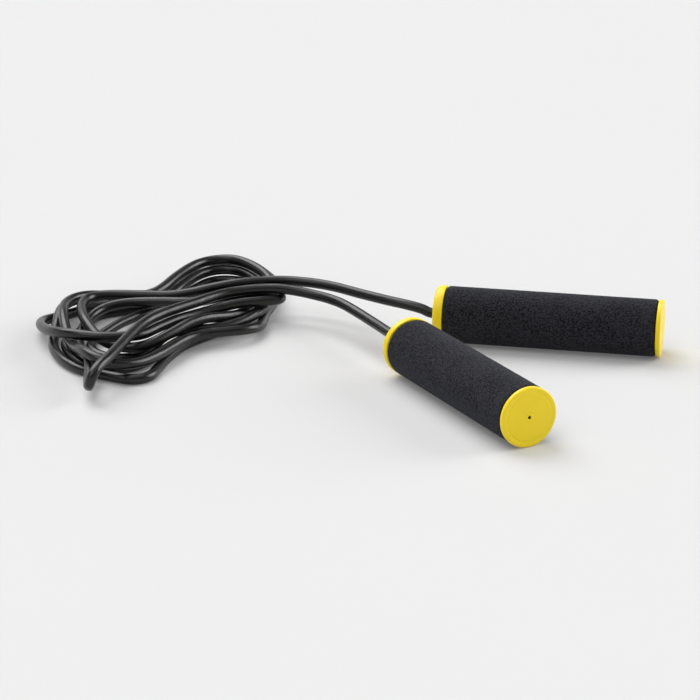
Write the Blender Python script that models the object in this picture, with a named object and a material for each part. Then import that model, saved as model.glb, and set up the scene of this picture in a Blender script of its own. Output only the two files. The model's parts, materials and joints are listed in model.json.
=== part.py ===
"""Jump rope: one plastic cord in a loose coil, with two foam-covered ball-bearing handles.

Lengths are in millimetres and are turned into metres when a mesh is made. The rope lies on
the plane z = 0, with the origin under the middle of its bounding box. Each handle is drawn
along its own axis: station 0 is the outer face of its end cap and the last station is the
front face of its collar, where the cord comes out.
"""
import math

import bmesh
import bpy
import numpy as np
from mathutils import Matrix, Vector

MM = 0.001
GAP = 0.3

# Cord
CORD_RADIUS = 3.25
CORD_SIDES_LEVEL = 2
CORD_SPACING = 7.0
CORD_TAIL = 25.2
STRAIGHT_FROM = 8.0
STRAIGHT_BEYOND = 4.0
EASE_LENGTH = 20.0

# Handle
HANDLE_LENGTH = 143.0
GRIP_RADIUS = 18.0
CAP_RIM = 3.0
COLLAR_RIM = 6.4
FOAM_THICKNESS = 3.7
CORE_OUTER = GRIP_RADIUS - FOAM_THICKNESS - GAP
CORE_INNER = 12.0
PLUG_RADIUS = CORE_INNER - GAP
PLUG_WALL = 2.0
PLUG_LENGTH = 18.0
GRIP_EDGE = 2.0
CAP_EDGE = 1.5
COLLAR_EDGE = 2.5
RIM_CHAMFER = 0.6
DIMPLE_DEPTH = 0.6
DIMPLE_RADIUS = 1.2
DIMPLE_FLOOR = 0.7

# Ball bearing, 10 x 19 x 5 mm, and what it carries
BEARING_WIDTH = 5.0
BEARING_OUTER = 9.5
BEARING_BORE = 5.0
BALL_COUNT = 9
BALL_RADIUS = 1.19
BALL_CLEARANCE = 0.2
PITCH_RADIUS = 7.25
OUTER_SHOULDER = 8.1
INNER_SHOULDER = 6.4
CAGE_INNER = 6.7
CAGE_OUTER = 7.8
CAGE_WIDTH = 3.6
FRONT_WALL = 3.3
FRONT_HOLE = 7.2
HOLE_CHAMFER = 0.5
BUSH_FLANGE = 6.6
BUSH_INSET = 0.5
BUSH_OVERHANG = 0.1
CORD_BORE = CORD_RADIUS + GAP
WASHER_THICKNESS = 1.0
WASHER_RADIUS = 6.2
SLEEVE_LENGTH = 12.0
SLEEVE_RADIUS = 5.5
CRIMP_DEPTH = 0.6
CRIMP_TOP = 0.9
CRIMP_FLOOR = 0.4
CRIMP_PITCH = 4.0

# Where each handle lies: its front face's centre (x, y), and the way its front points
HANDLES = {
    "near": {"front": (36.8, -40.9), "yaw": 117.6},
    "far": {"front": (56.6, 19.2), "yaw": 167.8},
}

# Segments round the axis, and samples along the cord
LARGE_ROUND = 28
SMALL_ROUND = 20
GROOVE_POINTS = 5
POCKET_SEGMENTS = 8
POCKET_RINGS = 6
BALL_SUBDIVISIONS = 2
SHARP_ANGLE = 35.0
CORD_STEP = 2.5
SECTION_LENGTH = 28.0
SECTION_TURN = 20.0

# How the crossing stretches are pushed apart, in millimetres or in steps along the cord
PUSH_REACH = 6.0
PUSH_SKIP = 8
PUSH_WIDTH = 5.0
PUSH_HALF_SPAN = 15
PUSH_GAIN = 1.5

# The cord's lay, from the far handle to the near one: (x, y, height) of its centre line.
# Each lap runs round the left end of the coil, back along the front and round the right end.
FAR_LEAD = [
    (48, 22, 20), (33, 28, 22), (19, 38, 22), (-13, 62, 23), (-36, 71, 23), (-53, 71, 23),
    (-81, 63, 22), (-111, 59, 17), (-142, 63, 16),
]
LAP_1 = [
    (-158, 63, 16), (-165, 60, 16), (-169, 54, 16), (-170, 36, 16), (-165, 13, 15), (-153, -10, 10),
    (-141, -23, 10), (-133, -26, 10), (-126, -26, 11), (-117, -19, 13), (-96, 6, 17), (-80, 24, 14),
    (-63, 49, 10), (-56, 71, 10), (-56, 97, 10), (-63, 120, 10), (-73, 134, 10), (-81, 138, 10),
    (-88, 138, 10), (-95, 133, 10), (-103, 120, 10), (-114, 89, 10), (-121, 77, 8),
]
LAP_2 = [
    (-130, 72, 5), (-154, 65, 3), (-162, 59, 3), (-166, 49, 3), (-170, 25, 3), (-177, 7, 3),
    (-175, -8, 3), (-164, -34, 3), (-155, -43, 3), (-145, -47, 3), (-137, -45, 3), (-129, -40, 3),
    (-118, -19, 3), (-103, 12, 3), (-83, 34, 3), (-72, 55, 3), (-62, 92, 3), (-61, 106, 3),
    (-64, 113, 3), (-69, 116, 3), (-77, 116, 3), (-89, 108, 3), (-103, 93, 3),
]
LAP_3 = [
    (-121, 65, 5), (-141, 39, 7), (-158, 10, 4), (-161, 0, 3), (-159, -11, 3), (-152, -22, 3),
    (-144, -26, 3), (-137, -26, 3), (-130, -23, 3), (-122, -12, 4), (-114, 3, 8), (-106, 7, 10),
    (-89, 12, 9), (-71, 24, 9), (-58, 41, 10), (-50, 68, 10), (-49, 90, 12), (-55, 110, 15),
    (-70, 132, 17), (-79, 139, 17), (-87, 140, 16), (-94, 137, 16), (-103, 127, 16), (-116, 94, 16),
]
LAP_4 = [
    (-124, 75, 14), (-131, 69, 14), (-138, 67, 13), (-157, 71, 13), (-168, 69, 14), (-175, 62, 15),
    (-181, 46, 16), (-180, 22, 16), (-174, -6, 11), (-167, -29, 12), (-157, -54, 16), (-151, -63, 16),
    (-145, -65, 15), (-138, -64, 13), (-128, -57, 11), (-115, -38, 10), (-100, -7, 10), (-88, 3, 10),
    (-67, 12, 9), (-59, 19, 8), (-55, 31, 6), (-54, 56, 3), (-48, 91, 3), (-47, 119, 3),
    (-55, 147, 3), (-66, 165, 3), (-75, 172, 3), (-84, 173, 3), (-92, 170, 3), (-101, 160, 3),
    (-111, 128, 3), (-120, 107, 3),
]
LAP_5 = [
    (-129, 99, 4), (-152, 91, 6), (-166, 83, 8), (-179, 69, 10), (-185, 49, 10), (-185, 21, 6),
    (-184, -3, 3), (-175, -29, 3), (-163, -46, 3), (-140, -60, 3), (-131, -65, 3), (-125, -64, 3),
    (-119, -59, 3), (-115, -40, 3), (-105, -5, 3), (-92, 15, 3), (-72, 37, 3), (-62, 57, 3),
    (-54, 97, 3), (-55, 114, 3), (-61, 124, 3), (-75, 134, 3), (-84, 136, 3), (-90, 134, 3),
    (-96, 128, 3), (-107, 106, 3),
]
LAP_6 = [
    (-119, 96, 3), (-144, 86, 3), (-165, 78, 3), (-180, 62, 3), (-193, 46, 5), (-196, 34, 7),
    (-192, 14, 10), (-180, -11, 15), (-169, -21, 17), (-155, -26, 17), (-139, -25, 17),
    (-129, -20, 16), (-113, 3, 16), (-93, 25, 16), (-68, 41, 17), (-47, 49, 17), (-42, 53, 16),
    (-40, 57, 16), (-43, 61, 16), (-50, 65, 17),
]
FRONT_BIGHT = [
    (-60, 67, 16), (-71, 65, 16), (-89, 53, 16), (-100, 47, 16), (-109, 48, 16), (-136, 54, 14),
    (-149, 53, 13), (-157, 48, 12), (-164, 37, 10), (-168, 10, 8), (-167, -11, 6), (-160, -36, 9),
    (-155, -66, 9), (-154, -81, 8), (-153, -90, 8), (-152, -97, 12), (-150, -97, 18), (-147, -89, 21),
]
NEAR_LEAD = [
    (-142, -77, 22), (-133, -40, 23), (-123, -9, 23), (-102, 18, 23), (-78, 45, 23), (-63, 52, 23),
    (-43, 54, 23), (-23, 49, 21), (-6, 37, 20), (12, 10, 18),
]


# ---------------------------------------------------------------- the cord's centre line

def handle_matrix(handle):
    """Placement of a handle, in millimetres: its local X axis runs from rear to front."""
    turn = Matrix.Rotation(math.radians(handle["yaw"]), 4, "Z")
    front = Vector((*handle["front"], GRIP_RADIUS))
    return Matrix.Translation(front) @ turn @ Matrix.Translation((-HANDLE_LENGTH, 0.0, 0.0))


def handle_point(handle, station):
    """The point of a handle's axis at one station."""
    return tuple(handle_matrix(handle) @ Vector((station, 0.0, 0.0)))


def cord_waypoints():
    """All points that the cord passes through, with straight stretches inside the handles."""
    offsets = (-CORD_TAIL, -STRAIGHT_FROM, STRAIGHT_BEYOND)
    start = [handle_point(HANDLES["far"], HANDLE_LENGTH + offset) for offset in offsets]
    end = [handle_point(HANDLES["near"], HANDLE_LENGTH + offset) for offset in reversed(offsets)]
    laps = LAP_1 + LAP_2 + LAP_3 + LAP_4 + LAP_5 + LAP_6
    return np.array(start + FAR_LEAD + laps + FRONT_BIGHT + NEAR_LEAD + end)


def blend(first, second, time_a, time_b, time):
    """Straight-line blend of two points between two times."""
    return (time_b - time) / (time_b - time_a) * first + (time - time_a) / (time_b - time_a) * second


def spline(points, steps=12):
    """Centripetal Catmull-Rom curve through the points."""
    before = 2.0 * points[0] - points[1]
    after = 2.0 * points[-1] - points[-2]
    knots = np.vstack([before, points, after])
    gaps = np.sqrt(np.linalg.norm(np.diff(knots, axis=0), axis=1))
    times = np.concatenate([[0.0], np.cumsum(gaps)])
    curve = []
    for i in range(1, len(knots) - 2):
        p = knots[i - 1:i + 3]
        t = times[i - 1:i + 3]
        for now in np.linspace(t[1], t[2], steps, endpoint=False):
            a = [blend(p[k], p[k + 1], t[k], t[k + 1], now) for k in range(3)]
            b = [blend(a[k], a[k + 1], t[k], t[k + 2], now) for k in range(2)]
            curve.append(blend(b[0], b[1], t[1], t[2], now))
    curve.append(points[-1])
    return np.array(curve)


def at_cost(path, cost, count):
    """Points of the path at equal steps of a running cost."""
    wanted = np.linspace(0.0, cost[-1], count + 1)
    return np.stack([np.interp(wanted, cost, path[:, axis]) for axis in range(3)], axis=1)


def evenly(path, step):
    """The path with points at equal distances."""
    lengths = np.linalg.norm(np.diff(path, axis=0), axis=1)
    run = np.concatenate([[0.0], np.cumsum(lengths)])
    return at_cost(path, run, round(run[-1] / step))


def sections(path, length, turn):
    """The path with points set by distance and by turning, so that bends get more of them."""
    edges = np.diff(path, axis=0)
    lengths = np.linalg.norm(edges, axis=1)
    ways = edges / lengths[:, None]
    cosines = np.clip((ways[1:] * ways[:-1]).sum(axis=1), -1.0, 1.0)
    turns = np.degrees(np.arccos(cosines)) / 2.0
    per_edge = np.concatenate([[0.0], turns]) + np.concatenate([turns, [0.0]])
    cost = np.concatenate([[0.0], np.cumsum(lengths / length + per_edge / turn)])
    return at_cost(path, cost, round(cost[-1]))


def soften(path, free, rounds):
    """Even out small wobbles; free is 0 where the path is held and 1 where it may move."""
    for _ in range(rounds):
        middle = (path[:-2] + path[2:]) / 2.0
        path[1:-1] += 0.5 * free[1:-1, None] * (middle - path[1:-1])
    return path


def close_pairs(path, reach, skip):
    """Index pairs of points that are near each other in space but not along the cord."""
    found = []
    for first in range(0, len(path), 200):
        block = path[first:first + 200, None]
        near = ((block - path[None]) ** 2).sum(axis=2) < reach * reach
        i, j = np.nonzero(near)
        keep = j - (i + first) >= skip
        found.append(np.stack([i[keep] + first, j[keep]], axis=1))
    return np.vstack(found)


def settle(path, free, spacing, rounds=14, steps=25):
    """Push crossing stretches apart until they only rest on each other and on the floor."""
    offsets = np.arange(-PUSH_HALF_SPAN, PUSH_HALF_SPAN + 1)
    kernel = np.exp(-0.5 * (offsets / PUSH_WIDTH) ** 2)
    kernel *= PUSH_GAIN / kernel.sum()
    for _ in range(rounds):
        pairs = close_pairs(path, spacing + PUSH_REACH, PUSH_SKIP)
        for _ in range(steps):
            apart = path[pairs[:, 1]] - path[pairs[:, 0]]
            distance = np.linalg.norm(apart, axis=1)
            overlap = np.clip(spacing - distance, 0.0, None)
            move = apart * (0.5 * overlap / distance)[:, None]
            push = np.zeros_like(path)
            np.add.at(push, pairs[:, 0], -move)
            np.add.at(push, pairs[:, 1], move)
            push[:, 2] += np.clip(CORD_RADIUS - path[:, 2], 0.0, None)
            spread = [np.convolve(push[:, axis], kernel, mode="same") for axis in range(3)]
            path += free[:, None] * np.stack(spread, axis=1)
    path[:, 2] = np.maximum(path[:, 2], CORD_RADIUS)
    return path


def cord_centreline():
    """The settled centre line of the whole cord, from one cut end to the other."""
    path = evenly(spline(cord_waypoints()), CORD_STEP)
    held = CORD_TAIL + STRAIGHT_BEYOND
    run = CORD_STEP * np.minimum(np.arange(len(path)), np.arange(len(path))[::-1])
    free = np.clip((run - held) / EASE_LENGTH, 0.0, 1.0)
    path = soften(path, free, 6)
    path = settle(path, free, CORD_SPACING)
    path = soften(path, free, 4)
    path = settle(path, free, CORD_SPACING, rounds=6)
    return sections(path, SECTION_LENGTH, SECTION_TURN)


# ---------------------------------------------------------------- modelling tools

def material(name, colour, roughness, metallic=0.0):
    """A Principled material."""
    made = bpy.data.materials.new(name)
    made.use_nodes = True
    shader = made.node_tree.nodes["Principled BSDF"]
    shader.inputs["Base Color"].default_value = (*colour, 1.0)
    shader.inputs["Roughness"].default_value = roughness
    shader.inputs["Metallic"].default_value = metallic
    return made


def link(name, data, look, parent=None):
    """Put an object into the scene with its material and parent."""
    data.materials.append(look)
    made = bpy.data.objects.new(name, data)
    made.parent = parent
    bpy.context.scene.collection.objects.link(made)
    return made


def corner(centre, radius, start, end, points=3):
    """Points of an arc in a profile; the angles are in degrees, 0 along +station."""
    angles = np.radians(np.linspace(start, end, points))
    return [(centre[0] + radius * math.cos(a), centre[1] + radius * math.sin(a)) for a in angles]


def ring(bm, station, radius, count):
    """One ring of vertices round the axis, or the single vertex on it. One vertex points down."""
    if radius == 0.0:
        return [bm.verts.new((station * MM, 0.0, 0.0))]
    verts = []
    for k in range(count):
        angle = 2.0 * math.pi * k / count - math.pi / 2.0
        place = Vector((station, radius * math.cos(angle), radius * math.sin(angle)))
        verts.append(bm.verts.new(place * MM))
    return verts


def join_rings(bm, one, two, count):
    """Faces between two rings, or between a ring and a point on the axis."""
    for k in range(count):
        after = (k + 1) % count
        corners = [one[k % len(one)], one[after % len(one)], two[after % len(two)], two[k % len(two)]]
        bm.faces.new(list(dict.fromkeys(corners)))


def turned(profile, count):
    """Mesh of a profile of (station, radius) points turned round the X axis.

    A profile that starts and ends on the axis is a solid; any other is closed into a ring.
    """
    bm = bmesh.new()
    rings = [ring(bm, station, radius, count) for station, radius in profile]
    solid = profile[0][1] == 0.0
    for one, two in zip(rings, rings[1:]):
        join_rings(bm, one, two, count)
    if not solid:
        join_rings(bm, rings[-1], rings[0], count)
    bmesh.ops.recalc_face_normals(bm, faces=bm.faces)
    mesh = bpy.data.meshes.new("turned")
    bm.to_mesh(mesh)
    bm.free()
    mesh.shade_smooth()
    mesh.set_sharp_from_angle(angle=math.radians(SHARP_ANGLE))
    return mesh


# ---------------------------------------------------------------- profiles of the handle's pieces

def grip_profile():
    """The foam sleeve, with rounded ends."""
    rear = CAP_RIM + GAP
    front = HANDLE_LENGTH - COLLAR_RIM - GAP
    inner = GRIP_RADIUS - FOAM_THICKNESS
    outside = GRIP_RADIUS - GRIP_EDGE
    return (
        [(front, inner)]
        + corner((front - GRIP_EDGE, outside), GRIP_EDGE, 0.0, 90.0)
        + corner((rear + GRIP_EDGE, outside), GRIP_EDGE, 90.0, 180.0)
        + [(rear, inner)]
    )


def core_profile():
    """The rigid tube inside the foam."""
    rear = CAP_RIM + GAP
    front = HANDLE_LENGTH - COLLAR_RIM - GAP
    return [(rear, CORE_INNER), (front, CORE_INNER), (front, CORE_OUTER), (rear, CORE_OUTER)]


def cap_profile():
    """The end cap: a rim with a flat face and a moulding dimple, and a hollow plug."""
    plug_end = CAP_RIM + PLUG_LENGTH
    hollow = PLUG_RADIUS - PLUG_WALL
    return (
        [(DIMPLE_DEPTH, 0.0), (DIMPLE_DEPTH, DIMPLE_FLOOR), (0.0, DIMPLE_RADIUS)]
        + corner((CAP_EDGE, GRIP_RADIUS - CAP_EDGE), CAP_EDGE, 180.0, 90.0)
        + [(CAP_RIM - RIM_CHAMFER, GRIP_RADIUS), (CAP_RIM, GRIP_RADIUS - RIM_CHAMFER)]
        + [(CAP_RIM, PLUG_RADIUS), (plug_end, PLUG_RADIUS), (plug_end, hollow)]
        + [(CAP_RIM, hollow), (CAP_RIM, 0.0)]
    )


def collar_profile():
    """The front collar: a rim with a rounded edge, a plug, and the bearing's seat."""
    rim = HANDLE_LENGTH - COLLAR_RIM
    plug_end = rim - PLUG_LENGTH
    seat = BEARING_OUTER + GAP
    wall = HANDLE_LENGTH - FRONT_WALL
    edge_centre = (HANDLE_LENGTH - COLLAR_EDGE, GRIP_RADIUS - COLLAR_EDGE)
    return (
        [(plug_end, seat), (wall, seat), (wall, FRONT_HOLE)]
        + [(HANDLE_LENGTH - HOLE_CHAMFER, FRONT_HOLE), (HANDLE_LENGTH, FRONT_HOLE + HOLE_CHAMFER)]
        + corner(edge_centre, COLLAR_EDGE, 0.0, 90.0, 4)
        + [(rim + RIM_CHAMFER, GRIP_RADIUS), (rim, GRIP_RADIUS - RIM_CHAMFER), (rim, PLUG_RADIUS)]
        + [(plug_end, PLUG_RADIUS)]
    )


def bearing_centre():
    """Station of the balls: the bearing sits a gap behind the collar's front wall."""
    return HANDLE_LENGTH - FRONT_WALL - GAP - BEARING_WIDTH / 2.0


def race_groove(shoulder, middle):
    """The ball groove in a race: an arc about the ball's centre, from shoulder to shoulder."""
    radius = BALL_RADIUS + BALL_CLEARANCE
    half = math.degrees(math.acos(abs(shoulder - PITCH_RADIUS) / radius))
    centre = (bearing_centre(), PITCH_RADIUS)
    return corner(centre, radius, middle - half, middle + half, GROOVE_POINTS)


def outer_race_profile():
    """Outer race: its groove opens inwards."""
    rear = bearing_centre() - BEARING_WIDTH / 2.0
    front = rear + BEARING_WIDTH
    groove = race_groove(OUTER_SHOULDER, 90.0)
    return [(rear, BEARING_OUTER), (front, BEARING_OUTER), (front, OUTER_SHOULDER), *groove,
            (rear, OUTER_SHOULDER)]


def inner_race_profile():
    """Inner race: its groove opens outwards."""
    rear = bearing_centre() - BEARING_WIDTH / 2.0
    front = rear + BEARING_WIDTH
    groove = race_groove(INNER_SHOULDER, 270.0)
    return [(front, BEARING_BORE), (rear, BEARING_BORE), (rear, INNER_SHOULDER), *groove,
            (front, INNER_SHOULDER)]


def cage_profile():
    """The ball cage before its pockets are cut."""
    rear = bearing_centre() - CAGE_WIDTH / 2.0
    front = rear + CAGE_WIDTH
    return [(rear, CAGE_INNER), (front, CAGE_INNER), (front, CAGE_OUTER), (rear, CAGE_OUTER)]


def bush_profile():
    """The swivel bush: a flange in the collar's hole and a sleeve through the inner race."""
    flange_rear = HANDLE_LENGTH - FRONT_WALL
    flange_front = HANDLE_LENGTH - BUSH_INSET
    flange_edge = (flange_front - HOLE_CHAMFER, BUSH_FLANGE)
    sleeve_rear = flange_rear - BEARING_WIDTH - BUSH_OVERHANG
    sleeve = BEARING_BORE - GAP
    return [(sleeve_rear, CORD_BORE), (flange_front, CORD_BORE),
            (flange_front, BUSH_FLANGE - HOLE_CHAMFER), flange_edge, (flange_rear, BUSH_FLANGE),
            (flange_rear, sleeve), (sleeve_rear, sleeve)]


def washer_front():
    """Station of the washer's front face, a gap behind the bearing."""
    return bearing_centre() - BEARING_WIDTH / 2.0 - GAP


def washer_profile():
    """The washer between the bearing and the stop sleeve."""
    front = washer_front()
    rear = front - WASHER_THICKNESS
    return [(rear, CORD_BORE), (front, CORD_BORE), (front, WASHER_RADIUS), (rear, WASHER_RADIUS)]


def sleeve_profile():
    """The crimped stop sleeve on the cord's end, with two crimp grooves."""
    front = washer_front() - WASHER_THICKNESS - GAP
    rear = front - SLEEVE_LENGTH
    waist = SLEEVE_RADIUS - CRIMP_DEPTH
    crimps = []
    for k in (1, 2):
        middle = rear + CRIMP_PITCH * k
        crimps += [(middle - CRIMP_TOP, SLEEVE_RADIUS), (middle - CRIMP_FLOOR, waist)]
        crimps += [(middle + CRIMP_FLOOR, waist), (middle + CRIMP_TOP, SLEEVE_RADIUS)]
    ends = [(front, CORD_BORE), (rear, CORD_BORE), (rear, SLEEVE_RADIUS)]
    return [*ends, *crimps, (front, SLEEVE_RADIUS)]


# ---------------------------------------------------------------- pieces

def ball_places():
    """Centres of the bearing's balls in the handle's frame."""
    places = []
    for k in range(BALL_COUNT):
        angle = 2.0 * math.pi * k / BALL_COUNT + math.pi / 2.0
        y = PITCH_RADIUS * math.cos(angle)
        z = PITCH_RADIUS * math.sin(angle)
        places.append(Vector((bearing_centre(), y, z)) * MM)
    return places


def ball_mesh():
    """One bearing ball about its own centre."""
    bm = bmesh.new()
    bmesh.ops.create_icosphere(bm, subdivisions=BALL_SUBDIVISIONS, radius=BALL_RADIUS * MM)
    mesh = bpy.data.meshes.new("ball")
    bm.to_mesh(mesh)
    bm.free()
    mesh.shade_smooth()
    return mesh


def cut_pockets(cage):
    """Cut one round pocket per ball through the cage."""
    bm = bmesh.new()
    radius = (BALL_RADIUS + BALL_CLEARANCE) * MM
    for place in ball_places():
        bmesh.ops.create_uvsphere(
            bm, u_segments=POCKET_SEGMENTS, v_segments=POCKET_RINGS, radius=radius,
            matrix=Matrix.Translation(place))
    mesh = bpy.data.meshes.new("pockets")
    bm.to_mesh(mesh)
    bm.free()
    cutter = bpy.data.objects.new("pocket_cutter", mesh)
    cutter.parent = cage.parent
    cutter.hide_render = True
    cutter.display_type = "WIRE"
    bpy.context.scene.collection.objects.link(cutter)
    cut = cage.modifiers.new("pockets", "BOOLEAN")
    cut.operation = "DIFFERENCE"
    cut.solver = "EXACT"
    cut.object = cutter


def handle_axis(name, handle):
    """The empty on a handle's axis that carries its pieces."""
    axis = bpy.data.objects.new(name + "_axis", None)
    placed = handle_matrix(handle)
    axis.location = placed.translation * MM
    axis.rotation_euler = placed.to_euler()
    bpy.context.scene.collection.objects.link(axis)
    return axis


def build_handle(name, handle, looks):
    """One handle with its bearing and all that holds the cord's end."""
    axis = handle_axis(name, handle)
    turned_pieces = [
        ("foam_grip", grip_profile(), LARGE_ROUND, "foam"),
        ("core_tube", core_profile(), LARGE_ROUND, "core_plastic"),
        ("end_cap", cap_profile(), LARGE_ROUND, "yellow_plastic"),
        ("front_collar", collar_profile(), LARGE_ROUND, "yellow_plastic"),
        ("outer_race", outer_race_profile(), SMALL_ROUND, "bearing_steel"),
        ("inner_race", inner_race_profile(), SMALL_ROUND, "bearing_steel"),
        ("ball_cage", cage_profile(), SMALL_ROUND, "cage_plastic"),
        ("cord_bush", bush_profile(), SMALL_ROUND, "bush_plastic"),
        ("washer", washer_profile(), SMALL_ROUND, "bearing_steel"),
        ("stop_sleeve", sleeve_profile(), SMALL_ROUND, "sleeve_metal"),
    ]
    for piece, profile, count, look in turned_pieces:
        made = link(f"{name}_{piece}", turned(profile, count), looks[look], axis)
        if piece == "ball_cage":
            cut_pockets(made)
    for number, place in enumerate(ball_places(), start=1):
        ball = link(f"{name}_ball_{number}", ball_mesh(), looks["bearing_steel"], axis)
        ball.location = place


def build_cord(looks):
    """The cord: a round bevel along its centre line, closed at both cut ends."""
    line = cord_centreline()
    curve = bpy.data.curves.new("cord", "CURVE")
    curve.dimensions = "3D"
    curve.twist_mode = "MINIMUM"
    curve.bevel_depth = CORD_RADIUS * MM
    curve.bevel_resolution = CORD_SIDES_LEVEL
    curve.use_fill_caps = True
    strand = curve.splines.new("POLY")
    strand.points.add(len(line) - 1)
    for point, place in zip(strand.points, line):
        point.co = (*(place * MM), 1.0)
    strand.use_smooth = True
    link("cord", curve, looks["cord_plastic"])


def build():
    """The whole rope."""
    for old in list(bpy.data.objects):
        bpy.data.objects.remove(old)
    looks = {
        "foam": material("foam", (0.022, 0.022, 0.024), 0.92),
        "core_plastic": material("core_plastic", (0.05, 0.05, 0.055), 0.5),
        "yellow_plastic": material("yellow_plastic", (0.84, 0.62, 0.03), 0.38),
        "cord_plastic": material("cord_plastic", (0.012, 0.012, 0.013), 0.22),
        "bearing_steel": material("bearing_steel", (0.62, 0.62, 0.64), 0.2, 1.0),
        "cage_plastic": material("cage_plastic", (0.36, 0.33, 0.25), 0.45),
        "bush_plastic": material("bush_plastic", (0.03, 0.03, 0.032), 0.4),
        "sleeve_metal": material("sleeve_metal", (0.7, 0.7, 0.71), 0.35, 1.0),
    }
    build_cord(looks)
    for name, handle in HANDLES.items():
        build_handle(name, handle, looks)


build()
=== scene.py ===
"""Looks for the jump rope: fine surfaces, materials, floor, lights and camera."""
import json
import math

import bmesh
import bpy
import numpy as np
from mathutils import Matrix, Vector, noise


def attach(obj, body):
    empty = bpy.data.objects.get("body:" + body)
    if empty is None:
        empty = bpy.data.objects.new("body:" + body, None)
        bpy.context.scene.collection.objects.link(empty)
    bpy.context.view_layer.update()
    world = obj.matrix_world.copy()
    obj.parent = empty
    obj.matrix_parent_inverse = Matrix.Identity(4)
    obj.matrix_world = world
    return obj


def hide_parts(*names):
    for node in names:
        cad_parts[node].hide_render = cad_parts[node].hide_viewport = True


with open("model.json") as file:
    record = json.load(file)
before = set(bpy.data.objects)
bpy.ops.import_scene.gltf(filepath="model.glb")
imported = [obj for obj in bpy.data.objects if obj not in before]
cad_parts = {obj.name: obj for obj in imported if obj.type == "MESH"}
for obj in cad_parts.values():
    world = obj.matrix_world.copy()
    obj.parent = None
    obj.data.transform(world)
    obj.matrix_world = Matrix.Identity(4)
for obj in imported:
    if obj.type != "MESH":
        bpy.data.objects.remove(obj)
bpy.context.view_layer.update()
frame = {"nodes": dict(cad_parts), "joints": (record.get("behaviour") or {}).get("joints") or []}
MM = 0.001

# Fineness of the round pieces
LARGE_ROUND = 144
SMALL_ROUND = 72
CORD_SIDES = 28
CORD_STEP = 1.2 * MM
CURVE_POINTS = 12

# The seam of a turned CAD node: its width in degrees, and what counts as on the axis in metres
SEAM_WIDTH = 0.5
SEAM_AXIS = 1e-5

# Turned pieces, in millimetres and degrees
ON_AXIS = 1e-6
TURNED_SHARP = 50.0
INNER_EDGE = 0.18
EDGE_POINTS = 4
CUT_SHARE = 0.45

# The cord, in metres and degrees; a CAD section has this many corners
CORD_CORNERS = 8
CORD_INSET = 0.5 * MM
CORD_NEAR_AXIS = 4.0 * MM
CORD_FIRST_RING = 1.5 * MM
CORD_SHARP = 60.0
CORD_REPEATS = 40.0

# The foam grip, in millimetres; its skin's noise in repeats per metre, and the step of its seed
FOAM_EDGE = 2.1
FOAM_EDGE_POINTS = 8
FOAM_ROWS = 170
FOAM_BORE_EDGE = 0.3
FOAM_SKIN = 2.0
FOAM_FINE = 700.0
FOAM_COARSE = 70.0
FOAM_FINE_DEPTH = 0.06
FOAM_COARSE_DEPTH = 0.05
GRIP_SEED = 11.0

# Small edges of the yellow pieces in millimetres, as (distance along the axis, change of radius)
FOAM_SIDE_EDGE = [(0.8, 0.0), (0.35, 0.08), (0.1, 0.35), (0.0, 0.8)]
PLUG_NECK = [(0.0, 0.3), (0.1, 0.08), (0.4, 0.0)]
PLUG_END = [(1.0, 0.0), (0.2, 0.25), (0.0, 0.6)]
PLUG_MOUTH = [(0.0, 0.3), (0.3, 0.0)]
PLUG_FLOOR = [(0.5, 0.0), (0.0, 0.5)]
HOLE_MOUTH = [(0.7, 0.0), (0.2, 0.15), (0.0, 0.6)]
COLLAR_NECK = [(0.0, 0.2), (0.3, 0.0)]
COLLAR_PLUG_EDGE = 0.5
SEAT_EDGE = 0.3
HOLE_BACK_EDGE = 0.2

# Telling one part of a CAD outline from another, in millimetres
WALL_STEP = 1.0
SAME_RADIUS = 0.05

# The end cap's face as (station, radius), in millimetres; the flat is (first, last, count)
CAP_EDGE = 1.1
CAP_EDGE_POINTS = 12
GATE_PIT = [(1.7, 0.0), (1.7, 0.85), (0.3, 0.95), (0.06, 1.15), (0.0, 1.45), (0.0, 2.7)]
GATE_RING = [(0.03, 2.8), (0.10, 3.0), (0.10, 3.15), (0.03, 3.35), (0.0, 3.45)]
FLAT_RADII = (4.2, 13.4, 6)
RIM_RING = [(0.0, 14.2), (0.03, 14.3), (0.09, 14.5), (0.09, 14.7), (0.03, 14.9), (0.0, 15.0)]
# Faces inside this part of the gate pit get a dark material as painted shade
PIT_RADIUS = 1.0
PIT_FROM = 0.2
PIT_TO = 2.0

# The front collar; the ring is (depth under the front face, radius), in millimetres
COLLAR_EDGE = 3.2
COLLAR_EDGE_POINTS = 16
COLLAR_RING = [(0.0, 9.6), (0.06, 9.8), (0.06, 10.1), (0.0, 10.3)]

# A stain on metal is this share of its colour
STAIN_SHADE = 0.8

# The sockets of a colour Mix node, several of which share a name
MIX_FACTOR = 0
MIX_FIRST = 6
MIX_SECOND = 7
MIX_COLOUR = 2

# Floor, lights and horizon; a light is (name, source direction, spread in degrees, strength)
FLOOR_REACH = 6.0
FLOOR_GLOW = 0.10
SUNS = [
    ("back", (-0.55, 0.85, 1.30), 50.0, 2.5),
    ("overhead", (0.0, -0.20, 1.00), 70.0, 0.8),
    ("right", (1.00, 0.35, 0.40), 40.0, 2.0),
    ("left", (-0.60, -0.50, 0.90), 40.0, 0.6),
]
HORIZON_BAND = (0.13, 0.40)
HORIZON_TONES = (0.87, 0.12)

# Camera
CAMERA_PLACE = (0.002, -1.4753, 0.5138)
CAMERA_TILT = 70.798
CAMERA_LENS = 127.86
CAMERA_SENSOR = 36.0
CAMERA_NEAR = 0.01


# ---------------------------------------------------------------- the frame's measures

def joint_named(name):
    """A joint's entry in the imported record."""
    return next(j for j in frame["joints"] if j["name"] == name)


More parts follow.
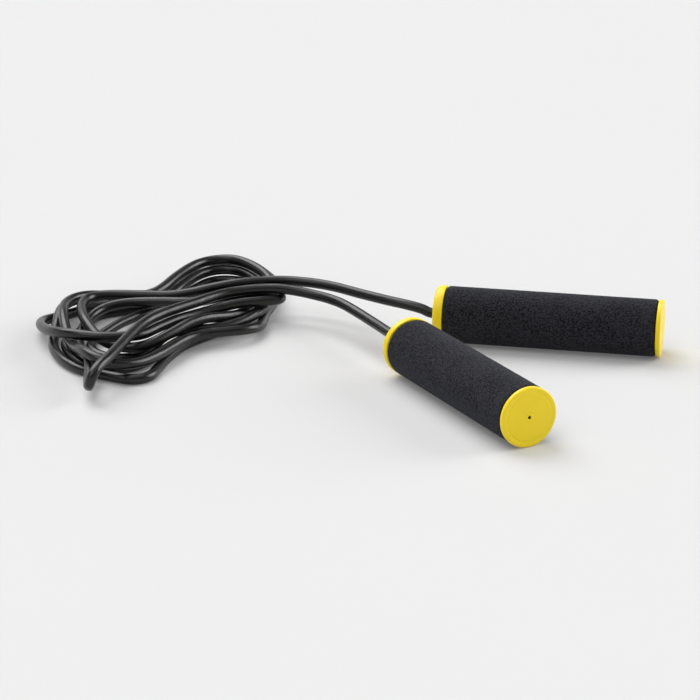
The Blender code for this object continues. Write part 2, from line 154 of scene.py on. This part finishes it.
def handle_frame(handle):
    """Placement of a handle: its local X axis runs along the spin axis, from rear to front."""
    joint = joint_named(handle + "_handle_spin")
    forward = Vector(joint["axis"]).normalized()
    side = Vector((0.0, 0.0, 1.0)).cross(forward).normalized()
    up = forward.cross(side)
    turn = Matrix((forward, side, up)).transposed().to_4x4()
    placed = Matrix.Translation(Vector(joint["pos_m"])) @ turn
    rear = stations(handle + "_end_cap", placed).min()
    return placed @ Matrix.Translation((rear, 0.0, 0.0))


def local_points(node, placed):
    """A node's vertices in a handle's frame."""
    inverse = np.array(placed.inverted())
    points = np.array([v.co for v in frame["nodes"][node].data.vertices])
    return points @ inverse[:3, :3].T + inverse[:3, 3]


def stations(node, placed):
    """Stations along a handle's axis of a node's vertices."""
    return local_points(node, placed)[:, 0]


def reach(node, placed):
    """(rear, front, inner radius, outer radius) of a node about a handle's axis."""
    points = local_points(node, placed)
    radii = np.hypot(points[:, 1], points[:, 2])
    return points[:, 0].min(), points[:, 0].max(), radii.min(), radii.max()


def cad_profile(node, placed):
    """The ordered (station, radius) outline that a turned CAD node was made from."""
    points = local_points(node, placed)
    radii = np.hypot(points[:, 1], points[:, 2])
    angles = np.degrees(np.arctan2(points[:, 2], points[:, 1]))
    down = (np.abs(angles + 90.0) < SEAM_WIDTH) | (radii < SEAM_AXIS)
    keys = [(round(float(x) / MM, 3), round(float(r) / MM, 3)) for x, r in zip(points[:, 0], radii)]
    links = {}
    for edge in frame["nodes"][node].data.edges:
        a = edge.vertices[0]
        b = edge.vertices[1]
        if down[a] and down[b] and keys[a] != keys[b]:
            links.setdefault(keys[a], set()).add(keys[b])
            links.setdefault(keys[b], set()).add(keys[a])
    ends = [key for key, joined in links.items() if len(joined) == 1]
    walk = [ends[0] if ends else next(iter(links))]
    while True:
        onward = [key for key in sorted(links[walk[-1]]) if key not in walk]
        if not onward:
            return walk
        walk.append(onward[0])


# ---------------------------------------------------------------- mesh tools

def rounded(profile, radius):
    """The closed outline with its corners rounded by small arcs."""
    count = len(profile)
    smooth = []
    for k, here in enumerate(profile):
        before = Vector(profile[k - 1]) - Vector(here)
        after = Vector(profile[(k + 1) % count]) - Vector(here)
        cut = min(radius, CUT_SHARE * before.length, CUT_SHARE * after.length)
        start = Vector(here) + before.normalized() * cut
        end = Vector(here) + after.normalized() * cut
        for t in np.linspace(0.0, 1.0, EDGE_POINTS):
            bent = start * (1 - t) ** 2 + Vector(here) * 2 * t * (1 - t) + end * t ** 2
            smooth.append(tuple(bent))
    return smooth


def arc(centre, radius, start, end, points):
    """Points of an arc in a profile; the angles are in degrees, 0 along +station."""
    angles = np.radians(np.linspace(start, end, points))
    return [(centre[0] + radius * math.cos(a), centre[1] + radius * math.sin(a)) for a in angles]


def ring(bm, station, radius, count):
    """One ring of vertices round the axis, or the single vertex on it."""
    if radius < ON_AXIS:
        return [bm.verts.new((station * MM, 0.0, 0.0))]
    verts = []
    for k in range(count):
        angle = 2.0 * math.pi * k / count - math.pi / 2.0
        place = Vector((station, radius * math.cos(angle), radius * math.sin(angle)))
        verts.append(bm.verts.new(place * MM))
    return verts


def join_rings(bm, one, two, count):
    """Faces between two rings, or between a ring and a point on the axis."""
    for k in range(count):
        after = (k + 1) % count
        corners = [one[k % len(one)], one[after % len(one)], two[after % len(two)], two[k % len(two)]]
        bm.faces.new(list(dict.fromkeys(corners)))


def turned(name, profile, count, placed):
    """A new object from a profile in millimetres turned round a handle's axis."""
    bm = bmesh.new()
    rings = [ring(bm, station, radius, count) for station, radius in profile]
    for one, two in zip(rings, rings[1:]):
        join_rings(bm, one, two, count)
    if profile[0][1] > ON_AXIS:
        join_rings(bm, rings[-1], rings[0], count)
    bmesh.ops.recalc_face_normals(bm, faces=bm.faces)
    mesh = bpy.data.meshes.new(name)
    bm.to_mesh(mesh)
    bm.free()
    mesh.shade_smooth()
    mesh.set_sharp_from_angle(angle=math.radians(TURNED_SHARP))
    made = bpy.data.objects.new(name, mesh)
    made.matrix_world = placed
    bpy.context.scene.collection.objects.link(made)
    return made


def install(piece, node, body, look):
    """Let a fine piece stand for its CAD node."""
    piece.data.materials.append(look)
    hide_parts(node)
    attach(piece, body)


# ---------------------------------------------------------------- material tools

class Look:
    """A Principled material with a few shorthands for its nodes."""

    def __init__(self, name, **sockets):
        self.material = bpy.data.materials.new(name)
        self.material.use_nodes = True
        self.tree = self.material.node_tree
        self.shader = self.tree.nodes["Principled BSDF"]
        for socket, value in sockets.items():
            self.shader.inputs[socket.replace("_", " ")].default_value = value

    def node(self, kind, **values):
        """A new node with the given properties."""
        made = self.tree.nodes.new(kind)
        for key, value in values.items():
            setattr(made, key, value)
        return made

    def link(self, output, target):
        """A link between two sockets."""
        self.tree.links.new(output, target)

    def place(self, stretch=(1.0, 1.0, 1.0), source="Object"):
        """Texture coordinates in metres, stretched along the piece's own axes."""
        coordinates = self.node("ShaderNodeTexCoord")
        mapping = self.node("ShaderNodeMapping")
        mapping.inputs["Scale"].default_value = stretch
        self.link(coordinates.outputs[source], mapping.inputs["Vector"])
        return mapping.outputs["Vector"]

    def noise(self, place, scale, detail=3.0, roughness=0.55):
        """Fractal noise; scale is in repeats per metre."""
        made = self.node("ShaderNodeTexNoise")
        made.inputs["Scale"].default_value = scale
        made.inputs["Detail"].default_value = detail
        made.inputs["Roughness"].default_value = roughness
        self.link(place, made.inputs["Vector"])
        return made.outputs["Fac"]

    def cells(self, place, scale):
        """Distance to the nearest cell centre, as in a fine foam."""
        made = self.node("ShaderNodeTexVoronoi")
        made.inputs["Scale"].default_value = scale
        self.link(place, made.inputs["Vector"])
        return made.outputs["Distance"]

    def ramp(self, value, low, high, start=0.0, end=1.0):
        """A number mapped from start..end to low..high, kept between them."""
        made = self.node("ShaderNodeMapRange")
        made.inputs["From Min"].default_value = start
        made.inputs["From Max"].default_value = end
        made.inputs["To Min"].default_value = low
        made.inputs["To Max"].default_value = high
        self.link(value, made.inputs["Value"])
        return made.outputs["Result"]

    def blend(self, value, first, second):
        """Two colours blended by a number from 0 to 1."""
        made = self.node("ShaderNodeMix", data_type="RGBA")
        made.inputs[MIX_FIRST].default_value = (*first, 1.0)
        made.inputs[MIX_SECOND].default_value = (*second, 1.0)
        self.link(value, made.inputs[MIX_FACTOR])
        return made.outputs[MIX_COLOUR]

    def together(self, first, second, how="ADD"):
        """Two numbers joined by arithmetic."""
        made = self.node("ShaderNodeMath", operation=how)
        for k, value in enumerate((first, second)):
            if isinstance(value, float):
                made.inputs[k].default_value = value
            else:
                self.link(value, made.inputs[k])
        return made.outputs["Value"]

    def bump(self, height, depth, strength=1.0, after=None):
        """A bump of the given depth in metres, on top of another one."""
        made = self.node("ShaderNodeBump")
        made.inputs["Distance"].default_value = depth
        made.inputs["Strength"].default_value = strength
        self.link(height, made.inputs["Height"])
        if after is not None:
            self.link(after, made.inputs["Normal"])
        return made.outputs["Normal"]

    def use(self, socket, output):
        """Feed one of the shader's inputs."""
        self.link(output, self.shader.inputs[socket])


def foam_look():
    """Charcoal closed-cell foam: fine cells, pale specks and a soft velvety sheen."""
    look = Look("foam_fine", Sheen_Weight=0.06, Sheen_Roughness=0.40, Specular_IOR_Level=0.10)
    look.shader.inputs["Sheen Tint"].default_value = (0.80, 0.86, 1.0, 1.0)
    place = look.place()
    cells = look.cells(place, scale=1300.0)
    grain = look.noise(place, scale=800.0, detail=3.0, roughness=0.8)
    clouds = look.noise(place, scale=45.0, detail=2.0)
    pattern = look.together(grain, look.together(cells, 0.25, "MULTIPLY"))
    specks = look.ramp(pattern, 0.0, 1.0, start=0.54, end=0.70)
    shade = look.together(specks, look.ramp(clouds, 0.0, 0.25, start=0.35, end=0.7))
    look.use("Base Color", look.blend(shade, (0.0004, 0.0004, 0.0006), (0.032, 0.032, 0.038)))
    look.use("Roughness", look.ramp(grain, 0.78, 0.98, start=0.3, end=0.7))
    fine = look.bump(cells, depth=0.00022, strength=0.7)
    look.use("Normal", look.bump(grain, depth=0.00034, strength=0.9, after=fine))
    return look.material


def yellow_look():
    """Satin moulded yellow plastic with a faint moulding grain and slight gloss changes."""
    look = Look("yellow_moulded", Subsurface_Weight=0.06, Subsurface_Scale=0.002, Specular_IOR_Level=0.4)
    place = look.place()
    flow = look.noise(place, scale=60.0, detail=3.0)
    grain = look.noise(place, scale=2600.0, detail=2.0)
    marks = look.noise(look.place((1.0, 0.08, 1.0)), scale=900.0, detail=2.0)
    look.use("Base Color", look.blend(flow, (0.88, 0.650, 0.005), (0.93, 0.705, 0.010)))
    broad = look.ramp(flow, 0.26, 0.40, start=0.3, end=0.7)
    rubbed = look.ramp(marks, 0.0, 0.06, start=0.5, end=0.8)
    look.use("Roughness", look.together(broad, rubbed))
    soft = look.bump(grain, depth=0.00003, strength=0.5)
    look.use("Normal", look.bump(marks, depth=0.00002, strength=0.4, after=soft))
    return look.material


def cord_look():
    """Glossy black extruded plastic: faint streaks along it and a little waviness."""
    look = Look("cord_glossy", Specular_IOR_Level=0.45)
    along = look.place((3.0, 0.25, 1.0), "UV")
    streaks = look.noise(along, scale=9.0, detail=3.0)
    place = look.place()
    waves = look.noise(place, scale=85.0, detail=2.0)
    dust = look.noise(place, scale=1500.0, detail=3.0)
    specks = look.ramp(dust, 0.0, 1.0, start=0.62, end=0.80)
    look.use("Base Color", look.blend(specks, (0.0025, 0.0025, 0.0028), (0.013, 0.013, 0.014)))
    streaked = look.ramp(streaks, 0.25, 0.36, start=0.3, end=0.7)
    dusty = look.ramp(dust, 0.0, 0.08, start=0.5, end=0.8)
    look.use("Roughness", look.together(streaked, dusty))
    ripple = look.bump(waves, depth=0.0006, strength=0.35)
    look.use("Normal", look.bump(streaks, depth=0.00012, strength=0.5, after=ripple))
    return look.material


def steel_look(name, colour, rough_low, rough_high, stretch):
    """Ground metal: fine lines round the axis and changes of gloss."""
    look = Look(name, Metallic=1.0)
    lines = look.noise(look.place(stretch), scale=2400.0, detail=3.0)
    stains = look.noise(look.place(), scale=260.0, detail=2.0)
    darker = tuple(STAIN_SHADE * part for part in colour)
    look.use("Base Color", look.blend(stains, darker, colour))
    look.use("Roughness", look.ramp(lines, rough_low, rough_high, start=0.3, end=0.7))
    look.use("Normal", look.bump(lines, depth=0.00002, strength=0.5))
    return look.material


def plain_plastic_look(name, dark, light, rough):
    """Plain moulded plastic with a fine grain."""
    look = Look(name)
    place = look.place()
    grain = look.noise(place, scale=1800.0, detail=3.0)
    clouds = look.noise(place, scale=120.0, detail=2.0)
    look.use("Base Color", look.blend(clouds, dark, light))
    look.use("Roughness", look.ramp(grain, rough - 0.08, rough + 0.1, start=0.3, end=0.7))
    look.use("Normal", look.bump(grain, depth=0.00004, strength=0.5))
    return look.material


# ---------------------------------------------------------------- the cord

def cord_centreline():
    """Centre of each section of the CAD cord, in order, read from its mesh."""
    mesh = frame["nodes"]["cord"].data
    places = {}
    index = []
    for vertex in mesh.vertices:
        key = tuple(round(part, 6) for part in vertex.co)
        index.append(places.setdefault(key, len(places)))
    points = np.array(list(places))
    near = [set() for _ in points]
    for edge in mesh.edges:
        a = index[edge.vertices[0]]
        b = index[edge.vertices[1]]
        if a != b:
            near[a].add(b)
            near[b].add(a)
    sections = end_first(points, near)
    return np.array([points[list(section)].mean(axis=0) for section in sections])


def end_first(points, near):
    """The cord's rings of vertices, starting from the ring at the far handle's cut end."""
    inverse = handle_frame("far").inverted()
    local = [inverse @ Vector(point) for point in points]
    inside = [k for k, place in enumerate(local) if place.yz.length < CORD_NEAR_AXIS and place.x > 0.0]
    start = min(local[k].x for k in inside)
    first = {k for k in inside if local[k].x - start < CORD_FIRST_RING}
    done = set(first)
    sections = [first]
    while True:
        onward = {n for k in sections[-1] for n in near[k]} - done
        if not onward:
            return sections
        done |= onward
        sections.append(onward)


def smooth_line(points, step):
    """An even, smooth curve through the points, by centripetal Catmull-Rom, and its run lengths."""
    knots = np.vstack([2 * points[0] - points[1], points, 2 * points[-1] - points[-2]])
    times = np.concatenate([[0.0], np.cumsum(np.sqrt(np.linalg.norm(np.diff(knots, axis=0), axis=1)))])
    curve = []
    for i in range(1, len(knots) - 2):
        p = knots[i - 1:i + 3]
        t = times[i - 1:i + 3]
        for now in np.linspace(t[1], t[2], CURVE_POINTS, endpoint=False):
            a = [((t[k + 1] - now) * p[k] + (now - t[k]) * p[k + 1]) / (t[k + 1] - t[k]) for k in range(3)]
            b = [((t[k + 2] - now) * a[k] + (now - t[k]) * a[k + 1]) / (t[k + 2] - t[k]) for k in range(2)]
            curve.append(((t[2] - now) * b[0] + (now - t[1]) * b[1]) / (t[2] - t[1]))
    curve.append(points[-1])
    curve = np.array(curve)
    run = np.concatenate([[0.0], np.cumsum(np.linalg.norm(np.diff(curve, axis=0), axis=1))])
    wanted = np.linspace(0.0, run[-1], round(run[-1] / step) + 1)
    return np.stack([np.interp(wanted, run, curve[:, k]) for k in range(3)], axis=1), wanted


def tube(name, line, run, radius, sides):
    """A closed tube along a line with slightly rounded cut ends, and lengthwise coordinates."""
    bm = bmesh.new()
    layer = bm.loops.layers.uv.new("along")
    tangents = np.gradient(line, axis=0)
    tangents /= np.linalg.norm(tangents, axis=1)[:, None]
    side = Vector((0.0, 0.0, 1.0)).cross(Vector(tangents[0])).normalized()
    rings = []
    for k, (centre, tangent) in enumerate(zip(line, tangents)):
        tangent = Vector(tangent)
        side = (side - tangent * side.dot(tangent)).normalized()
        other = tangent.cross(side)
        width = radius - (CORD_INSET if k in (0, len(line) - 1) else 0.0)
        angles = [2.0 * math.pi * s / sides for s in range(sides)]
        rings.append([
            bm.verts.new(Vector(centre) + width * (math.cos(a) * side + math.sin(a) * other))
            for a in angles
        ])
    for k in range(len(rings) - 1):
        for s in range(sides):
            after = (s + 1) % sides
            face = bm.faces.new((rings[k][s], rings[k][after], rings[k + 1][after], rings[k + 1][s]))
            around = (s / sides, (s + 1) / sides, (s + 1) / sides, s / sides)
            length = (run[k], run[k], run[k + 1], run[k + 1])
            for loop, u, v in zip(face.loops, around, length):
                loop[layer].uv = (u, v * CORD_REPEATS)
    bm.faces.new(rings[0])
    bm.faces.new(rings[-1])
    bmesh.ops.recalc_face_normals(bm, faces=bm.faces)
    mesh = bpy.data.meshes.new(name)
    bm.to_mesh(mesh)
    bm.free()
    mesh.shade_smooth()
    mesh.set_sharp_from_angle(angle=math.radians(CORD_SHARP))
    made = bpy.data.objects.new(name, mesh)
    bpy.context.scene.collection.objects.link(made)
    return made


def cord_radius(centres):
    """Outer radius of the CAD cord, from the corners of its first section."""
    mesh = frame["nodes"]["cord"].data
    distances = sorted(float(np.linalg.norm(np.array(v.co) - centres[0])) for v in mesh.vertices)
    return distances[CORD_CORNERS - 1]


def build_cord():
    """The fine cord in place of the CAD one."""
    centres = cord_centreline()
    line, run = smooth_line(centres, CORD_STEP)
    cord = tube("cord_fine", line, run, cord_radius(centres), CORD_SIDES)
    install(cord, "cord", "cord_assembly", cord_look())


# ---------------------------------------------------------------- the handles

def grip_profile(rear, front, inner, outer):
    """The foam sleeve: soft rounded ends and many rings, so that its skin can be uneven."""
    shoulder = outer - FOAM_EDGE
    outside = [(s, outer) for s in np.linspace(front - FOAM_EDGE, rear + FOAM_EDGE, FOAM_ROWS)][1:-1]
    return (
        [(front - FOAM_BORE_EDGE, inner), (front, inner + FOAM_BORE_EDGE)]
        + arc((front - FOAM_EDGE, shoulder), FOAM_EDGE, 0.0, 90.0, FOAM_EDGE_POINTS)
        + outside
        + arc((rear + FOAM_EDGE, shoulder), FOAM_EDGE, 90.0, 180.0, FOAM_EDGE_POINTS)
        + [(rear, inner + FOAM_BORE_EDGE), (rear + FOAM_BORE_EDGE, inner)]
    )


def roughen(piece, seed, outer):
    """Give the foam's skin real, fine unevenness, only ever inwards."""
    shift = Vector((seed, 2.0 * seed, 3.0 * seed))
    for vertex in piece.data.vertices:
        radius = vertex.co.yz.length
        if radius < (outer - FOAM_SKIN) * MM:
            continue
        fine = noise.noise(vertex.co * FOAM_FINE + shift)
        coarse = noise.noise(vertex.co * FOAM_COARSE + shift)
        depth = FOAM_FINE_DEPTH * (1.0 + fine) + FOAM_COARSE_DEPTH * (1.0 + coarse)
        vertex.co.y *= 1.0 - depth * MM / radius
        vertex.co.z *= 1.0 - depth * MM / radius


def cap_profile(profile, outer):
    """The end cap: gate pit, faint rings on its face, and well-rounded edges."""
    plug_end = max(s for s, r in profile)
    plug_radius = max(r for s, r in profile if s > plug_end - WALL_STEP)
    hollow = min(r for s, r in profile if s > plug_end - WALL_STEP)
    rim = min(s for s, r in profile if abs(r - plug_radius) < SAME_RADIUS)
    flat = [(0.0, r) for r in np.linspace(*FLAT_RADII)]
    return (
        GATE_PIT + GATE_RING + flat + RIM_RING
        + arc((CAP_EDGE, outer - CAP_EDGE), CAP_EDGE, 180.0, 90.0, CAP_EDGE_POINTS)
        + [(rim - along, outer - down) for along, down in FOAM_SIDE_EDGE]
        + [(rim + along, plug_radius + up) for along, up in PLUG_NECK]
        + [(plug_end - along, plug_radius - down) for along, down in PLUG_END]
        + [(plug_end - along, hollow + up) for along, up in PLUG_MOUTH]
        + [(rim + along, hollow - down) for along, down in PLUG_FLOOR]
        + [(rim, 0.0)]
    )


def collar_profile(profile, outer):
    """The front collar: a flat band at the foam and a well-rounded front edge."""
    length = max(s for s, r in profile)
    rim = min(s for s, r in profile if r > outer - WALL_STEP)
    plug_end = min(s for s, r in profile)
    plug_radius = max(r for s, r in profile if s < rim - WALL_STEP)
    seat = min(r for s, r in profile if s < rim - WALL_STEP)
    hole = min(r for s, r in profile)
    wall = min(s for s, r in profile if r < seat - WALL_STEP)
    return (
        [(plug_end, seat + SEAT_EDGE), (plug_end + SEAT_EDGE, seat), (wall, seat)]
        + [(wall, hole + HOLE_BACK_EDGE), (wall + HOLE_BACK_EDGE, hole)]
        + [(length - along, hole + up) for along, up in HOLE_MOUTH]
        + [(length - along, radius) for along, radius in COLLAR_RING]
        + arc((length - COLLAR_EDGE, outer - COLLAR_EDGE), COLLAR_EDGE, 0.0, 90.0, COLLAR_EDGE_POINTS)
        + [(rim + along, outer - down) for along, down in FOAM_SIDE_EDGE]
        + [(rim - along, plug_radius + up) for along, up in COLLAR_NECK]
        + [(plug_end + COLLAR_PLUG_EDGE, plug_radius), (plug_end, plug_radius - COLLAR_PLUG_EDGE)]
    )


def paint_gate_shade(cap, look):
    """Painted shade: the faces inside the moulding pit get a dark material that stands for the shade in
    the recess.
    """
    cap.data.materials.append(look)
    for face in cap.data.polygons:
        middle = face.center / MM
        if middle.yz.length < PIT_RADIUS and PIT_FROM < middle.x < PIT_TO:
            face.material_index = 1


def build_grip(handle, placed, looks, seed):
    """The foam grip."""
    node = handle + "_foam_grip"
    rear, front, inner, outer = (part / MM for part in reach(node, placed))
    piece = turned(node + "_fine", grip_profile(rear, front, inner, outer), LARGE_ROUND, placed)
    roughen(piece, seed, outer)
    install(piece, node, handle + "_handle", looks["foam"])


def build_yellow(handle, placed, looks):
    """The end cap and the front collar."""
    outer = reach(handle + "_front_collar", placed)[3] / MM
    cap = cap_profile(cad_profile(handle + "_end_cap", placed), outer)
    piece = turned(handle + "_end_cap_fine", cap, LARGE_ROUND, placed)
    install(piece, handle + "_end_cap", handle + "_cap", looks["yellow"])
    # The inside of the gate pit is painted dark as shade
    paint_gate_shade(piece, looks["gate"])
    collar = collar_profile(cad_profile(handle + "_front_collar", placed), outer)
    piece = turned(handle + "_front_collar_fine", collar, LARGE_ROUND, placed)
    install(piece, handle + "_front_collar", handle + "_handle", looks["yellow"])


def build_inner(handle, placed, looks):
    """Fine versions of the turned pieces inside, with small rounded edges."""
    root = "cord_assembly"
    rows = [
        ("core_tube", handle + "_handle", "core", "core_plastic", LARGE_ROUND),
        ("outer_race", handle + "_handle", "steel", "bearing_steel", SMALL_ROUND),
        ("inner_race", root, "steel", "bearing_steel", SMALL_ROUND),
        ("washer", root, "steel", "bearing_steel", SMALL_ROUND),
        ("cord_bush", root, "bush", "bush_plastic", SMALL_ROUND),
        ("stop_sleeve", root, "sleeve", "sleeve_metal", SMALL_ROUND),
    ]
    for name, body, look, slot, count in rows:
        node = f"{handle}_{name}"
        profile = rounded(cad_profile(node, placed), INNER_EDGE)
        piece = turned(node + "_fine", profile, count, placed)
        install(piece, node, body, looks[look])


def dress_carried(looks):
    """Materials for the CAD nodes that stay: the balls and their cages."""
    for name, node in frame["nodes"].items():
        if name.endswith("_ball_cage"):
            node.data.materials.clear()
            node.data.materials.append(looks["cage"])
        elif "_ball_" in name:
            node.data.materials.clear()
            node.data.materials.append(looks["ball"])


def build_handles():
    """Both handles."""
    looks = {
        "foam": foam_look(),
        "yellow": yellow_look(),
        # Painted shade for the inside of the gate pit: a dark olive plastic
        "gate": plain_plastic_look("gate_painted_shade", (0.030, 0.022, 0.006), (0.060, 0.045, 0.010), 0.7),
        "core": plain_plastic_look("core_moulded", (0.035, 0.035, 0.04), (0.055, 0.055, 0.06), 0.5),
        "bush": plain_plastic_look("bush_moulded", (0.014, 0.014, 0.015), (0.024, 0.024, 0.026), 0.34),
        "cage": plain_plastic_look("cage_nylon", (0.36, 0.32, 0.23), (0.44, 0.40, 0.30), 0.42),
        "steel": steel_look("steel_ground", (0.66, 0.66, 0.68), 0.14, 0.30, (1.0, 0.2, 0.2)),
        "ball": steel_look("steel_ball", (0.72, 0.72, 0.74), 0.05, 0.12, (1.0, 1.0, 1.0)),
        "sleeve": steel_look("sleeve_aluminium", (0.74, 0.74, 0.75), 0.28, 0.42, (1.0, 0.3, 0.3)),
    }
    for seed, handle in enumerate(("near", "far"), start=1):
        placed = handle_frame(handle)
        build_grip(handle, placed, looks, GRIP_SEED * seed)
        build_yellow(handle, placed, looks)
        build_inner(handle, placed, looks)
    dress_carried(looks)


# ---------------------------------------------------------------- studio

def floor_look():
    """Pale matt paper."""
    look = Look("floor_paper", Specular_IOR_Level=0.1, Emission_Strength=FLOOR_GLOW)
    look.shader.inputs["Emission Color"].default_value = (1.0, 1.0, 1.0, 1.0)
    place = look.place()
    tone = look.noise(place, scale=3.0, detail=2.0)
    fibre = look.noise(place, scale=900.0, detail=2.0)
    look.use("Base Color", look.blend(tone, (0.535, 0.535, 0.535), (0.545, 0.545, 0.545)))
    look.use("Roughness", look.ramp(fibre, 0.85, 0.95))
    return look.material


def build_floor():
    """A large pale floor."""
    bm = bmesh.new()
    bmesh.ops.create_grid(bm, x_segments=8, y_segments=8, size=FLOOR_REACH)
    mesh = bpy.data.meshes.new("floor")
    bm.to_mesh(mesh)
    bm.free()
    mesh.materials.append(floor_look())
    floor = bpy.data.objects.new("floor", mesh)
    bpy.context.scene.collection.objects.link(floor)


def soft_sun(name, source, spread, strength):
    """A wide, far light shining from a direction, which lights the whole floor evenly."""
    data = bpy.data.lights.new(name, "SUN")
    data.angle = math.radians(spread)
    data.energy = strength
    light = bpy.data.objects.new(name, data)
    light.rotation_euler = Vector(source).to_track_quat("Z", "Y").to_euler()
    bpy.context.scene.collection.objects.link(light)


def build_lights():
    """Soft light from behind, above and both sides, and a pale horizon."""
    for sun in SUNS:
        soft_sun(*sun)
    world = bpy.data.worlds.new("studio")
    world.use_nodes = True
    tree = world.node_tree
    direction = tree.nodes.new("ShaderNodeTexCoord")
    parts = tree.nodes.new("ShaderNodeSeparateXYZ")
    tree.links.new(direction.outputs["Generated"], parts.inputs[0])
    height = tree.nodes.new("ShaderNodeMapRange")
    height.interpolation_type = "SMOOTHSTEP"
    height.inputs["From Min"].default_value = HORIZON_BAND[0]
    height.inputs["From Max"].default_value = HORIZON_BAND[1]
    height.inputs["To Min"].default_value = HORIZON_TONES[0]
    height.inputs["To Max"].default_value = HORIZON_TONES[1]
    tree.links.new(parts.outputs["Z"], height.inputs["Value"])
    tree.links.new(height.outputs["Result"], tree.nodes["Background"].inputs["Color"])
    bpy.context.scene.world = world


def build_camera():
    """The camera at the picture's viewing angle."""
    data = bpy.data.cameras.new("camera")
    data.sensor_width = CAMERA_SENSOR
    data.lens = CAMERA_LENS
    data.clip_start = CAMERA_NEAR
    camera = bpy.data.objects.new("camera", data)
    camera.location = CAMERA_PLACE
    camera.rotation_euler = (math.radians(CAMERA_TILT), 0.0, 0.0)
    bpy.context.scene.collection.objects.link(camera)
    bpy.context.scene.camera = camera


build_cord()
build_handles()
build_floor()
build_lights()
build_camera()
bpy.context.scene.view_settings.view_transform = "Standard"
